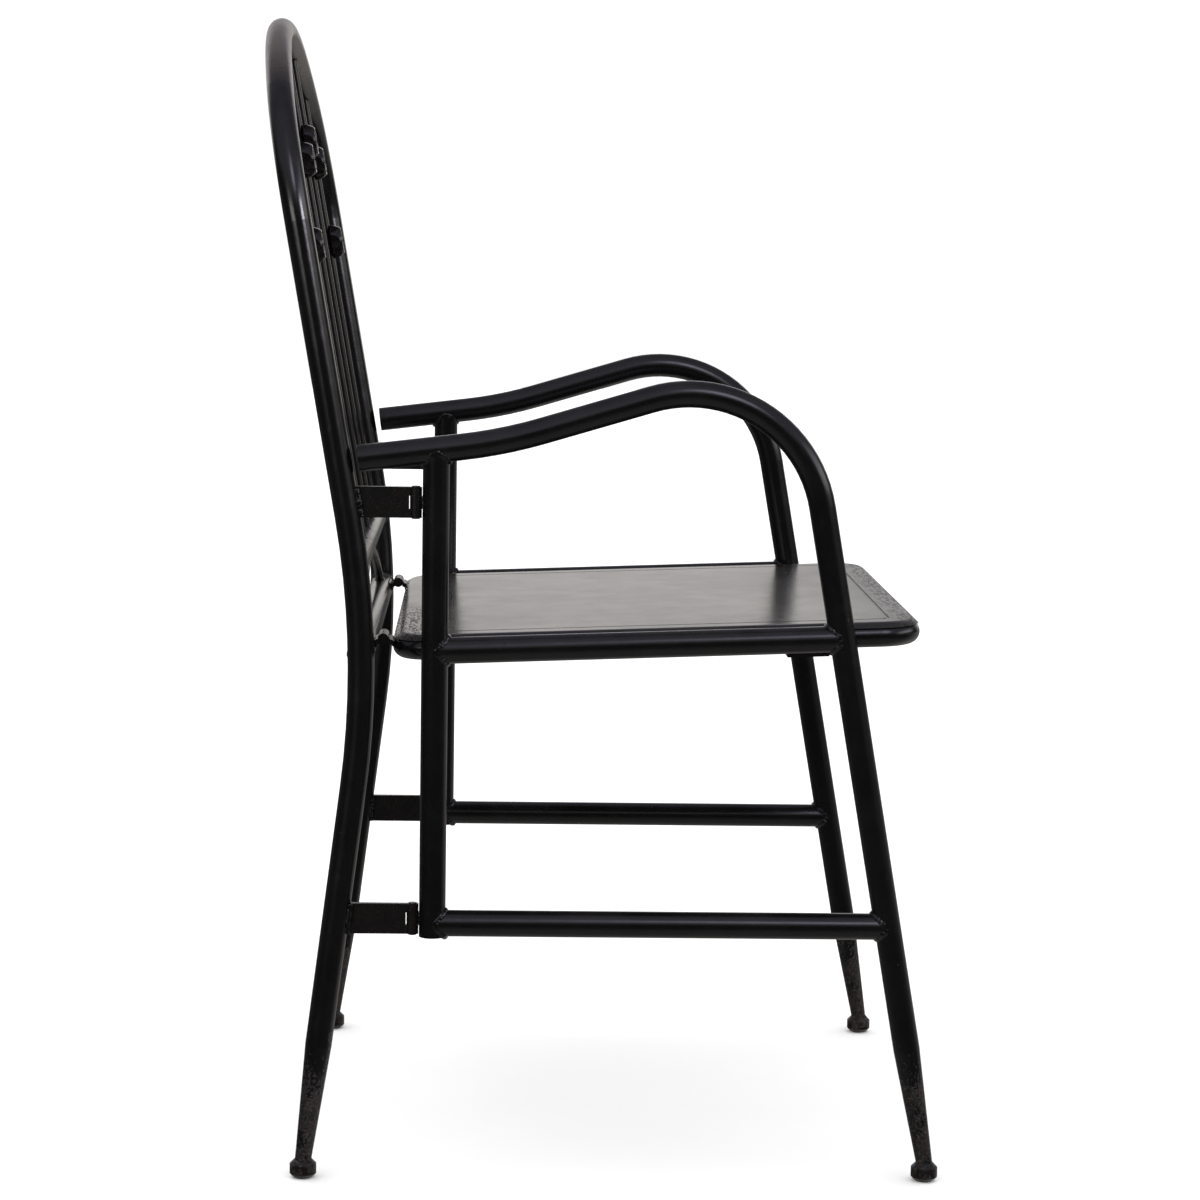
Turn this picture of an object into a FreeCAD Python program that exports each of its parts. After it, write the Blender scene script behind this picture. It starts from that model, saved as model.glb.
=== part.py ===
import FreeCAD, Part
import math
import os
import Sketcher

# Garden armchair of welded round steel tube, folding: the seat lifts on two rear hinges
# and each side frame swings on two plate hinges. The chair faces -Y, +Z is up, and the
# origin lies on the floor under the middle of its overall width and depth.

V = FreeCAD.Vector
X_AXIS, Y_AXIS, Z_AXIS = V(1, 0, 0), V(0, 1, 0), V(0, 0, 1)

SIZES = {
    # Tube, rod, plate and sheet stock
    "TubeDiameter": 22.2,
    "TubeWall": 1.5,
    "UpperRailDiameter": 19.0,
    "RimDiameter": 20.0,
    "RodDiameter": 8.0,
    "PlateThickness": 5.0,
    "TabThickness": 3.0,
    "SheetThickness": 1.5,
    # Clearances
    "WeldGap": 0.05,
    "RestGap": 0.3,
    "KnuckleGap": 0.25,
    "SlotGap": 0.6,
    "PinClearance": 0.05,
    "SwingGap": 0.4,
    "SeatSideGap": 4.1,
    "ArmEndGap": 5.2,
    # Plan of the frame, depths measured from the side hinge axis
    "FrameWidth": 500.0,
    "PostDistance": 35.9,
    "FrontFootDistance": 434.9,
    "ArmBreakDistance": 70.9,
    # Back hoop
    "BackBendHeight": 445.2,
    "BackBendRadius": 760.0,
    "BackLeanAngle": 9.9,
    "RearRakeAngle": 7.2,
    "PostLength": 360.0,
    "ArchHeight": 167.0,
    "ArchCornerRadius": 130.0,
    "LowerRailDrop": 2.1,
    "RailSpacing": 70.0,
    # Side frame
    "FrontRakeAngle": 10.15,
    "ArmRearHeight": 606.5,
    "ArmRearAngle": 7.1,
    "ArmRiseAngle": 16.85,
    "ArmBreakRadius": 400.0,
    "ArmFrontRadius": 112.0,
    "StretcherHeight": 218.3,
    "TipLength": 100.0,
    "TipDiameter": 13.6,
    "FootDiameter": 22.4,
    "FootHeight": 14.5,
    "FootChamfer": 3.2,
    # Seat
    "SeatPitchAngle": 2.3,
    "SeatHeight": 447.1,
    "SeatDepth": 445.0,
    "SeatRearDistance": 19.6,
    "SeatCornerRadius": 24.6,
    "SheetLipHeight": 4.5,
    "SeatLineInset": 27.0,
    "SeatLineWidth": 2.4,
    "SeatLineDepth": 0.6,
    "TabLength": 35.0,
    # Side hinges
    "SideHingeHeight": 25.6,
    "SideHingeMiddle": 10.4,
    "SideBarrelDiameter": 10.0,
    "SidePinDiameter": 5.0,
    "UpperHingeDrop": 35.5,
    "LowerHingeLift": 3.9,
    "PinHeadHeight": 0.8,
    "PinHeadRim": 0.9,
    # Seat hinges
    "SeatHingeInset": 45.0,
    "SeatHingeDistance": 27.1,
    "SeatHingeLift": 6.4,
    "SeatHingeWidth": 30.0,
    "SeatHingeMiddle": 13.0,
    "SeatBarrelDiameter": 9.0,
    "SeatPinDiameter": 4.5,
    "SeatLeafThickness": 4.0,
    # Cast rosettes and the apron arch
    "RosetteDiameter": 31.0,
    "RosetteDepth": 10.0,
    "RosetteDishDiameter": 21.0,
    "RosetteDishDepth": 3.0,
    "RosetteBossDiameter": 6.4,
    "PetalGrooveDiameter": 2.4,
    "CentreRosetteDistance": 428.1,
    "InnerRosetteDistance": 410.8,
    "OuterRosetteDistance": 337.6,
    "ApronInset": 35.0,
    "ApronBite": 1.5,
}

doc = FreeCAD.newDocument("GardenArmchair")
sheet = doc.addObject("Spreadsheet::Sheet", "Sizes")
for row, (alias, number) in enumerate(SIZES.items(), start=1):
    sheet.set(f"A{row}", alias)
    sheet.set(f"B{row}", str(number))
    sheet.setAlias(f"B{row}", alias)
doc.recompute()

parts = []


def size(alias):
    return float(sheet.get(alias))


def degrees(alias):
    return math.radians(size(alias))


TUBE_R = size("TubeDiameter") / 2
RIM_R = size("RimDiameter") / 2
HALF = size("FrameWidth") / 2
LEAN = V(0, math.sin(degrees("BackLeanAngle")), math.cos(degrees("BackLeanAngle")))


def keep(feature, label, placement=None):
    # The feature becomes a sub-part: its label names its file.
    feature.Label = label
    if placement is not None:
        feature.Placement = placement
    parts.append(feature)
    return feature


def aim(start, direction):
    # A placement whose own +Z runs along the direction from the start point.
    return FreeCAD.Placement(start, FreeCAD.Rotation(Z_AXIS, direction))


def rod(name, diameter, start, end):
    # A round bar between two points; its radius is bound to the sheet.
    bar = doc.addObject("Part::Cylinder", name)
    bar.setExpression("Radius", diameter)
    bar.Height = (end - start).Length
    bar.Placement = aim(start, end - start)
    return bar


def box(name, length, width, height, corner):
    # A block; a size is an expression on the sheet, or a number worked out from it.
    block = doc.addObject("Part::Box", name)
    for side, given in (("Length", length), ("Width", width), ("Height", height)):
        if isinstance(given, str):
            block.setExpression(side, given)
        else:
            setattr(block, side, given)
    block.Placement.Base = corner
    return block


def cut(name, base, *tools):
    # One tool is taken off after another.
    result = base
    for step, tool in enumerate(tools, start=1):
        trimmed = doc.addObject("Part::Cut", f"{name}Cut{step}")
        trimmed.Base = result
        trimmed.Tool = tool
        result = trimmed
    return result


def fuse(name, *shapes):
    joined = doc.addObject("Part::MultiFuse", name)
    joined.Shapes = list(shapes)
    joined.Refine = True
    return joined


def mirrored(name, source):
    # The same piece on the other side of the middle plane.
    copy = doc.addObject("Part::Mirroring", name)
    copy.Source = source
    copy.Normal = X_AXIS
    copy.Base = V(0, 0, 0)
    return copy


def fillet_path(points, radii):
    # Straight runs through the corner points, with a tangent arc of its radius at each.
    edges = []
    start = points[0]
    for before, corner, after, radius in zip(points, points[1:], points[2:], radii):
        inward = (before - corner).normalize()
        outward = (after - corner).normalize()
        half_turn = (math.pi - inward.getAngle(outward)) / 2
        reach = radius * math.tan(half_turn)
        bisector = (inward + outward).normalize()
        middle = corner + bisector * (radius / math.cos(half_turn) - radius)
        first = corner + inward * reach
        last = corner + outward * reach
        edges.append(Part.LineSegment(start, first).toShape())
        edges.append(Part.Arc(first, middle, last).toShape())
        start = last
    edges.append(Part.LineSegment(start, points[-1]).toShape())
    return edges


def sweep(name, spine, radius, start, direction):
    # A round profile, its radius bound to the sheet, carried along the spine.
    profile = doc.addObject("Part::Circle", f"{name}Profile")
    profile.setExpression("Radius", radius)
    profile.Placement = aim(start, direction)
    pipe = doc.addObject("Part::Sweep", name)
    pipe.Sections = [profile]
    pipe.Spine = (spine, [f"Edge{n + 1}" for n in range(len(spine.Shape.Edges))])
    pipe.Solid = True
    pipe.Frenet = False
    return pipe


def bent_tube(name, edges):
    # The outside, the bore and the coping tool of one bent tube, all on one spine.
    spine = doc.addObject("Part::Feature", f"{name}Spine")
    spine.Shape = Part.Wire(edges)
    start = edges[0].valueAt(edges[0].FirstParameter)
    heading = edges[0].tangentAt(edges[0].FirstParameter)
    outside = sweep(f"{name}Outside", spine, "Sizes.TubeDiameter / 2", start, heading)
    bore = sweep(f"{name}Bore", spine, "Sizes.TubeDiameter / 2 - Sizes.TubeWall", start, heading)
    cope = sweep(f"{name}Cope", spine, "Sizes.TubeDiameter / 2 + Sizes.WeldGap", start, heading)
    return outside, bore, cope


def straight_tube(name, start, end, diameter, *copes):
    # A hollow tube between two axis points, its ends saddled by the coping tools.
    outside = rod(f"{name}Outside", f"{diameter} / 2", start, end)
    bore = rod(f"{name}Bore", f"{diameter} / 2 - Sizes.TubeWall", start, end)
    return cut(name, outside, bore, *copes)


def tip(name, foot_top, direction):
    # The swaged end of a leg, from the full tube down to the foot.
    rake = direction.getAngle(Z_AXIS)
    bite = size("TipDiameter") / 2 * math.tan(rake)
    cone = doc.addObject("Part::Cone", name)
    cone.setExpression("Radius1", "Sizes.TipDiameter / 2")
    cone.setExpression("Radius2", "Sizes.TubeDiameter / 2")
    cone.Height = size("TipLength") + bite
    cone.Placement = aim(foot_top - direction * bite, direction)
    return cone


def crossing(point, direction, other, heading):
    # Where two lines in the plane of a side frame meet.
    across = direction.y * heading.z - direction.z * heading.y
    offset = other - point
    along = (offset.y * heading.z - offset.z * heading.y) / across
    return point + direction * along


# Places that several pieces share, worked out from the sheet

FOOT_TOP = size("FootHeight")
FRONT_RAKE = V(0, math.sin(degrees("FrontRakeAngle")), math.cos(degrees("FrontRakeAngle")))
REAR_RAKE = V(0, -math.sin(degrees("RearRakeAngle")), math.cos(degrees("RearRakeAngle")))
REAR_FOOT_BEHIND = size("PostDistance") + math.tan(degrees("RearRakeAngle")) * (size("BackBendHeight") - FOOT_TOP)
ARCH_TOP_BEHIND = size("PostDistance") + LEAN.y * (size("PostLength") + size("ArchHeight"))
FRONT_REACH = size("FrontFootDistance") + size("FootDiameter") / 2
REAR_REACH = max(ARCH_TOP_BEHIND + TUBE_R, REAR_FOOT_BEHIND + size("FootDiameter") / 2)
HINGE_Y = (FRONT_REACH - REAR_REACH) / 2
UPRIGHT_Y = HINGE_Y - TUBE_R - size("SideBarrelDiameter") / 2 - size("SwingGap")

BEND = V(-HALF, HINGE_Y + size("PostDistance"), size("BackBendHeight"))
REAR_FOOT = V(-HALF, HINGE_Y + REAR_FOOT_BEHIND, FOOT_TOP)
FRONT_FOOT = V(-HALF, HINGE_Y - size("FrontFootDistance"), FOOT_TOP)
PIVOT = V(0, HINGE_Y + size("SeatHingeDistance"), size("SeatHeight") + size("SeatHingeLift"))

SEAT_FRAME = FreeCAD.Placement(V(0, HINGE_Y, size("SeatHeight")), FreeCAD.Rotation(X_AXIS, -size("SeatPitchAngle")))
SEAT_RIM_X = HALF - TUBE_R - size("SeatSideGap") - RIM_R
SEAT_EDGE = RIM_R + size("SheetThickness")
SEAT_REAR = size("SeatRearDistance") - RIM_R
SEAT_FRONT = size("SeatRearDistance") - size("SeatDepth") + RIM_R


def hoop_y(height):
    # Depth of the back tube's centre line at a height, along leg, bend or post.
    half_turn = (degrees("BackLeanAngle") + degrees("RearRakeAngle")) / 2
    radius = size("BackBendRadius")
    reach = radius * math.tan(half_turn)
    if height > BEND.z + reach * LEAN.z:
        return BEND.y + (height - BEND.z) * math.tan(degrees("BackLeanAngle"))
    if height < BEND.z - reach * REAR_RAKE.z:
        return BEND.y + (BEND.z - height) * math.tan(degrees("RearRakeAngle"))
    start = BEND + LEAN * reach
    centre_y = start.y + radius * LEAN.z
    centre_z = start.z - radius * LEAN.y
    return centre_y - math.sqrt(radius**2 - (height - centre_z) ** 2)


LOWER_RAIL_HEIGHT = size("SeatHeight") - size("LowerRailDrop")
UPPER_RAIL_HEIGHT = LOWER_RAIL_HEIGHT + size("RailSpacing")
UPPER_RAIL = V(0, hoop_y(UPPER_RAIL_HEIGHT), UPPER_RAIL_HEIGHT)
LOWER_RAIL = V(0, hoop_y(LOWER_RAIL_HEIGHT), LOWER_RAIL_HEIGHT)
ARM_END_Y = hoop_y(size("ArmRearHeight")) - TUBE_R / LEAN.z - size("ArmEndGap")

below_feet = box("BelowFootTops", "2 * Sizes.FrameWidth", "2 * Sizes.FrameWidth", "Sizes.FootHeight",
                 V(-2 * HALF, -2 * HALF, 0))


# Back hoop: both rear legs, both posts and the flat arch in one length of tube

corner_r = size("ArchCornerRadius")
rise = size("ArchHeight")
inset = HALF - corner_r
crown_r = (inset**2 + rise**2 - corner_r**2) / (2 * (rise - corner_r))


def arch_point(x, up):
    # A point of the leaning plane of the arch, measured up from where its corners spring.
    return V(x, BEND.y, BEND.z) + LEAN * (size("PostLength") + up)


def hoop_edges():
    leg_start = REAR_FOOT + REAR_RAKE * size("TipLength")
    near = fillet_path([leg_start, BEND, arch_point(-HALF, 0)], [size("BackBendRadius")])
    turn = math.atan2(crown_r - rise, inset)
    corner_mid = arch_point(-inset - corner_r * math.cos(turn / 2), corner_r * math.sin(turn / 2))
    corner_end = arch_point(-inset - corner_r * math.cos(turn), corner_r * math.sin(turn))
    crown = arch_point(0, rise)

    def across(point):
        return V(-point.x, point.y, point.z)

    arch = [
        Part.Arc(arch_point(-HALF, 0), corner_mid, corner_end).toShape(),
        Part.Arc(corner_end, crown, across(corner_end)).toShape(),
        Part.Arc(across(corner_end), across(corner_mid), arch_point(HALF, 0)).toShape(),
    ]
    far = fillet_path([arch_point(HALF, 0), across(BEND), across(leg_start)], [size("BackBendRadius")])
    return near + arch + far


hoop_outside, hoop_bore, hoop_cope = bent_tube("Hoop", hoop_edges())
rear_tip = tip("RearTip", REAR_FOOT, REAR_RAKE)
hoop_skin = fuse("HoopSkin", hoop_outside, rear_tip, mirrored("RearTipLeft", rear_tip))
keep(cut("Hoop", hoop_skin, hoop_bore, below_feet), "back_hoop_tube")


# Cross rails of the back

def cross_rail(name, centre, diameter, label):
    ends = V(HALF, 0, 0)
    keep(straight_tube(name, centre - ends, centre + ends, diameter, hoop_cope), label)
    return rod(f"{name}Cope", f"{diameter} / 2 + Sizes.WeldGap", centre - ends, centre + ends)


upper_cope = cross_rail("UpperRail", UPPER_RAIL, "Sizes.UpperRailDiameter", "upper_cross_rail")
lower_cope = cross_rail("LowerRail", LOWER_RAIL, "Sizes.TubeDiameter", "lower_cross_rail")


# Back rods and the cast rosettes on them

def crown_height(x):
    return rise - crown_r + math.sqrt(crown_r**2 - x**2)


def rod_point(x, height):
    # A point on the axis of the rod at x, at a height above the floor.
    return V(x, UPPER_RAIL.y, UPPER_RAIL.z) + LEAN * ((height - UPPER_RAIL.z) / LEAN.z)


def back_rod(name, x, label):
    top = rod_point(x, arch_point(x, crown_height(x)).z)
    bar = rod(name, "Sizes.RodDiameter / 2", V(x, UPPER_RAIL.y, UPPER_RAIL.z), top)
    keep(cut(name, bar, upper_cope, hoop_cope), label)


PETALS = 6
PETAL_REACH = 1.02
NOTCH_REACH = 0.84


def ball(name, diameter, centre):
    sphere = doc.addObject("Part::Sphere", name)
    sphere.setExpression("Radius", f"{diameter} / 2")
    sphere.Placement.Base = centre
    return sphere


def petal_outline(back):
    # A smooth closed curve, out at the middle of each petal and in between two petals.
    points = []
    for step in range(2 * PETALS):
        reach = size("RosetteDiameter") / 2 * (NOTCH_REACH if step % 2 else PETAL_REACH)
        turn = math.pi * step / PETALS
        points.append(back + V(math.sin(turn), 0, math.cos(turn)) * reach)
    curve = Part.BSplineCurve()
    curve.interpolate(points, PeriodicFlag=True)
    return Part.Wire(curve.toShape())


def cast_rosette(name, base, label):
    # A petalled button on the front of its rod: domed at its edge, dished in front, with a
    # boss in the dish and a groove between two petals.
    back = V(0, -size("RodDiameter") / 2 - size("WeldGap"), 0)
    front = back - Y_AXIS * size("RosetteDepth")
    dish_floor = front + Y_AXIS * size("RosetteDishDepth")
    outline = doc.addObject("Part::Feature", f"{name}Outline")
    outline.Shape = petal_outline(back)
    petals = doc.addObject("Part::Extrusion", f"{name}Petals")
    petals.Base = outline
    petals.DirMode = "Custom"
    petals.Dir = -Y_AXIS
    petals.setExpression("LengthFwd", "Sizes.RosetteDepth")
    petals.Solid = True
    domed = doc.addObject("Part::Common", f"{name}Domed")
    domed.Base = petals
    domed.Tool = ball(f"{name}Dome", "Sizes.RosetteDiameter", back)
    dish = doc.addObject("Part::Cone", f"{name}Dish")
    dish.setExpression("Radius1", "Sizes.RosetteBossDiameter / 2")
    dish.setExpression("Radius2", "Sizes.RosetteDishDiameter / 2")
    dish.setExpression("Height", "Sizes.RosetteDishDepth")
    dish.Placement = aim(dish_floor, -Y_AXIS)
    grooves = []
    for step in range(PETALS):
        turn = math.pi * (2 * step + 1) / PETALS
        rim = front + V(math.sin(turn), 0, math.cos(turn)) * size("RosetteDiameter")
        grooves.append(rod(f"{name}Groove{step}", "Sizes.PetalGrooveDiameter / 2", front, rim))
    boss = ball(f"{name}Boss", "Sizes.RosetteBossDiameter", dish_floor)
    rosette = fuse(name, cut(f"{name}Face", domed, dish, *grooves), boss)
    lean = FreeCAD.Rotation(X_AXIS, -size("BackLeanAngle"))
    keep(rosette, label, FreeCAD.Placement(base, lean))


# Each rod's name, its place counted in rod spacings from the middle, and how far up its rosette sits
BACK_RODS = [("outer_right", -2, "OuterRosetteDistance"), ("inner_right", -1, "InnerRosetteDistance"),
             ("centre", 0, "CentreRosetteDistance"), ("inner_left", 1, "InnerRosetteDistance"),
             ("outer_left", 2, "OuterRosetteDistance")]
ROD_SPACING = size("FrameWidth") / (len(BACK_RODS) + 1)
for place, station, level in BACK_RODS:
    rod_x = station * ROD_SPACING
    rosette_base = rod_point(rod_x, BEND.z + LEAN.z * size(level))
    back_rod(f"BackRod_{place}", rod_x, f"back_rod_{place}")
    cast_rosette(f"Rosette_{place}", rosette_base, f"cast_rosette_{place}")


# Apron arch: a bent rod between the two cross rails

def apron_edges():
    drop = UPPER_RAIL - LOWER_RAIL
    up = V(drop.x, drop.y, drop.z).normalize()
    apex_rise = drop.Length - size("UpperRailDiameter") / 2 - size("RodDiameter") / 2 + size("ApronBite")
    side = V(HALF - size("ApronInset"), 0, 0)
    return [Part.Arc(LOWER_RAIL - side, LOWER_RAIL + up * apex_rise, LOWER_RAIL + side).toShape()]


apron_spine = doc.addObject("Part::Feature", "ApronSpine")
apron_spine.Shape = Part.Wire(apron_edges())
apron_arc = apron_spine.Shape.Edges[0]
apron_bar = sweep("ApronBar", apron_spine, "Sizes.RodDiameter / 2",
                  apron_arc.valueAt(apron_arc.FirstParameter), apron_arc.tangentAt(apron_arc.FirstParameter))
keep(cut("Apron", apron_bar, upper_cope, lower_cope), "apron_arch_rod")


# Feet: turned buttons under the swaged tips

def foot_body():
    body = doc.addObject("PartDesign::Body", "Foot")
    sketch = body.newObject("Sketcher::SketchObject", "FootProfile")
    plane = [f for f in body.Origin.OriginFeatures if f.Role == "XZ_Plane"][0]
    sketch.AttachmentSupport = [(plane, "")]
    sketch.MapMode = "FlatFace"
    r, h, c = size("FootDiameter") / 2, size("FootHeight"), size("FootChamfer")
    corners = [(0, 0), (r - c, 0), (r, c), (r, h - c), (r - c, h), (0, h)]
    for first, last in zip(corners, corners[1:] + corners[:1]):
        sketch.addGeometry(Part.LineSegment(V(*first, 0), V(*last, 0)), False)
    count = len(corners)
    for edge in range(count):
        sketch.addConstraint(Sketcher.Constraint("Coincident", edge, 2, (edge + 1) % count, 1))
    sketch.addConstraint(Sketcher.Constraint("Coincident", 0, 1, -1, 1))
    for edge, (first, last) in enumerate(zip(corners, corners[1:] + corners[:1])):
        if first[1] == last[1]:
            sketch.addConstraint(Sketcher.Constraint("Horizontal", edge))
        if first[0] == last[0]:
            sketch.addConstraint(Sketcher.Constraint("Vertical", edge))
    sized = [
        ("radius", Sketcher.Constraint("DistanceX", -1, 1, 2, 1, r), "Sizes.FootDiameter / 2"),
        ("height", Sketcher.Constraint("DistanceY", -1, 1, 4, 1, h), "Sizes.FootHeight"),
        ("sole", Sketcher.Constraint("DistanceX", 1, 1, 1, 2, c), "Sizes.FootChamfer"),
        ("sole_rise", Sketcher.Constraint("DistanceY", 1, 1, 1, 2, c), "Sizes.FootChamfer"),
        ("top", Sketcher.Constraint("DistanceX", 3, 2, 3, 1, c), "Sizes.FootChamfer"),
        ("top_rise", Sketcher.Constraint("DistanceY", 3, 1, 3, 2, c), "Sizes.FootChamfer"),
    ]
    for label, constraint, expression in sized:
        index = sketch.addConstraint(constraint)
        sketch.renameConstraint(index, label)
        sketch.setExpression(f"Constraints.{label}", expression)
    turned = body.newObject("PartDesign::Revolution", "FootTurned")
    turned.Profile = sketch
    turned.ReferenceAxis = (sketch, ["V_Axis"])
    turned.Angle = 360
    return body


foot = foot_body()
for label, place in (("rear_foot", REAR_FOOT), ("front_foot", FRONT_FOOT)):
    for side, x in (("right", -HALF), ("left", HALF)):
        copy = doc.addObject("Part::Compound", f"Foot_{label}_{side}")
        copy.Links = [foot]
        keep(copy, f"{label}_{side}", FreeCAD.Placement(V(x, place.y, 0), FreeCAD.Rotation()))


# Side hinges: a plate welded to the post, its two outer knuckles, the pin, and the
# middle knuckle welded to the rear upright of the side frame

def pin(name, diameter, length, centre, axis):
    # A headed pin; the heads bear on the outer knuckles.
    head = f"{diameter} / 2 + Sizes.PinHeadRim"
    half = axis * (length / 2)
    cap = axis * size("PinHeadHeight")
    shank = rod(f"{name}Shank", f"{diameter} / 2", centre - half, centre + half)
    low = rod(f"{name}LowHead", head, centre - half - cap, centre - half)
    high = rod(f"{name}HighHead", head, centre + half, centre + half + cap)
    return fuse(name, shank, low, high)


def side_hinge(name, level, label):
    axis = V(-HALF, HINGE_Y, level)
    half_height = size("SideHingeHeight") / 2
    half_plate = size("PlateThickness") / 2
    slot = size("SideHingeMiddle") / 2 + size("KnuckleGap")
    past = size("SideBarrelDiameter") / 2 + size("SlotGap")
    up = V(0, 0, half_height)

    plate = box(f"{name}Plate", "Sizes.PlateThickness", hoop_y(level) - HINGE_Y, "Sizes.SideHingeHeight",
                V(-HALF - half_plate, HINGE_Y, level - half_height))
    barrel = rod(f"{name}Barrel", "Sizes.SideBarrelDiameter / 2", axis - up, axis + up)
    notch = box(f"{name}Notch", "2 * Sizes.SideBarrelDiameter",
                "Sizes.SideBarrelDiameter + 2 * Sizes.SlotGap",
                "Sizes.SideHingeMiddle + 2 * Sizes.KnuckleGap",
                V(-HALF - size("SideBarrelDiameter"), HINGE_Y - past, level - slot))
    hole = rod(f"{name}Hole", "Sizes.SidePinDiameter / 2 + Sizes.PinClearance", axis - up, axis + up)
    leaf = cut(f"{name}Leaf", fuse(f"{name}LeafBlank", plate, barrel), notch, hole, hoop_cope)

    half_middle = V(0, 0, size("SideHingeMiddle") / 2)
    web = box(f"{name}Web", "Sizes.PlateThickness",
              "Sizes.TubeDiameter / 2 + Sizes.SideBarrelDiameter / 2 + Sizes.SwingGap",
              "Sizes.SideHingeMiddle", V(-HALF - half_plate, UPRIGHT_Y, level - half_middle.z))
    eye = rod(f"{name}Eye", "Sizes.SideBarrelDiameter / 2", axis - half_middle, axis + half_middle)
    knuckle = cut(f"{name}Knuckle", fuse(f"{name}KnuckleBlank", web, eye), hole, upright_cope)

    bolt = pin(f"{name}Pin", "Sizes.SidePinDiameter", size("SideHingeHeight"), axis, Z_AXIS)
    for shape, node in ((leaf, "hinge_plate"), (bolt, "hinge_pin"), (knuckle, "hinge_knuckle")):
        keep(shape, f"{label}_{node}_right")
        keep(mirrored(f"{name}{node}Left", shape), f"{label}_{node}_left")


upright_cope = rod("UprightCope", "Sizes.TubeDiameter / 2 + Sizes.WeldGap",
                   V(-HALF, UPRIGHT_Y, 0), V(-HALF, UPRIGHT_Y, size("ArmRearHeight")))
side_hinge("UpperHinge", size("ArmRearHeight") - size("UpperHingeDrop"), "upper")
side_hinge("LowerHinge", size("StretcherHeight") + size("LowerHingeLift"), "lower")


# Side frames: arm and front leg in one tube, rear upright, seat rail and stretcher

def arm_corners():
    rear_slope = math.tan(degrees("ArmRearAngle"))
    end = V(-HALF, ARM_END_Y, size("ArmRearHeight"))
    run = ARM_END_Y - HINGE_Y + size("ArmBreakDistance")
    elbow = V(-HALF, end.y - run, end.z + rear_slope * run)
    rising = V(0, -math.cos(degrees("ArmRiseAngle")), math.sin(degrees("ArmRiseAngle")))
    hand = crossing(elbow, rising, FRONT_FOOT, FRONT_RAKE)
    return [end, elbow, hand, FRONT_FOOT + FRONT_RAKE * size("TipLength")]


arm_points = arm_corners()
arm_path = fillet_path(arm_points, [size("ArmBreakRadius"), size("ArmFrontRadius")])
arm_outside, arm_bore, arm_cope = bent_tube("Arm", arm_path)
front_tip = tip("FrontTip", FRONT_FOOT, FRONT_RAKE)
arm_tube = cut("ArmLeg", fuse("ArmSkin", arm_outside, front_tip), arm_bore, below_feet)

arm_slope = (arm_points[1] - arm_points[0]).normalize()
upright_foot = V(-HALF, UPRIGHT_Y, size("StretcherHeight") - TUBE_R)
upright_head = crossing(upright_foot, Z_AXIS, arm_points[0], arm_slope)
upright = straight_tube("Upright", upright_foot, upright_head, "Sizes.TubeDiameter", arm_cope)


def side_rail(name, start, direction):
    # A rail of the side frame from the upright's axis to the front leg's.
    end = crossing(start, direction, FRONT_FOOT, FRONT_RAKE)
    return straight_tube(name, start, end, "Sizes.TubeDiameter", upright_cope, arm_cope), end


forward_up = V(0, -math.cos(degrees("SeatPitchAngle")), math.sin(degrees("SeatPitchAngle")))
rail_start = crossing(V(-HALF, HINGE_Y, size("SeatHeight")), forward_up, upright_foot, Z_AXIS)
seat_rail, rail_end = side_rail("SeatRail", rail_start, forward_up)
stretcher, _ = side_rail("Stretcher", V(-HALF, UPRIGHT_Y, size("StretcherHeight")), -Y_AXIS)

# Seat rest: a flat tab under the seat rail, against the leg, that the seat lies on

leg_face = (HINGE_Y - rail_end.y) / forward_up.y + TUBE_R / math.cos(degrees("FrontRakeAngle"))
tab = box("SeatRest", HALF - SEAT_RIM_X, "Sizes.TabLength", "Sizes.TabThickness", V(0, 0, 0))
tab.Placement = SEAT_FRAME.multiply(
    FreeCAD.Placement(V(-HALF, leg_face, -TUBE_R - size("TabThickness")), FreeCAD.Rotation()))
tab_trimmed = cut("SeatRestTrim", tab, arm_cope)

for shape, node in ((arm_tube, "arm_leg_tube"), (upright, "rear_upright"), (seat_rail, "seat_rail"),
                    (stretcher, "lower_stretcher"), (tab_trimmed, "seat_rest_tab")):
    keep(shape, f"{node}_right")
    keep(mirrored(f"{node}Left", shape), f"{node}_left")


# Seat: a rounded ring of tube, and a sheet whose lip is rolled down over its shoulder

def rounded_slab(name, grow, z, height):
    # A slab with round corners; grow is how far its edge lies outside the tube's centre line.
    slab = box(f"{name}Block", 2 * (SEAT_RIM_X + grow), SEAT_REAR - SEAT_FRONT + 2 * grow, height,
               V(-SEAT_RIM_X - grow, SEAT_FRONT - grow, z))
    doc.recompute()
    upright_edges = [n for n, edge in enumerate(slab.Shape.Edges, start=1)
                     if abs(edge.tangentAt(edge.FirstParameter).z) > 0.5]
    rounded = doc.addObject("Part::Fillet", name)
    rounded.Base = slab
    radius = size("SeatCornerRadius") + grow
    rounded.Edges = [(n, radius, radius) for n in upright_edges]
    return rounded


def rim_edges():
    # Half of the ring, from the middle of the rear side round to the middle of the front.
    points = [V(0, SEAT_REAR, 0), V(-SEAT_RIM_X, SEAT_REAR, 0), V(-SEAT_RIM_X, SEAT_FRONT, 0), V(0, SEAT_FRONT, 0)]
    half = fillet_path(points, [size("SeatCornerRadius")] * 2)
    back = [V(-p.x, p.y, p.z) for p in reversed(points)]
    return half + fillet_path(back, [size("SeatCornerRadius")] * 2)


rim_spine = doc.addObject("Part::Feature", "RimSpine")
rim_spine.Shape = Part.Wire(rim_edges())


def rim_sweep(name, radius):
    return sweep(name, rim_spine, radius, V(0, SEAT_REAR, 0), -X_AXIS)


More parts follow.
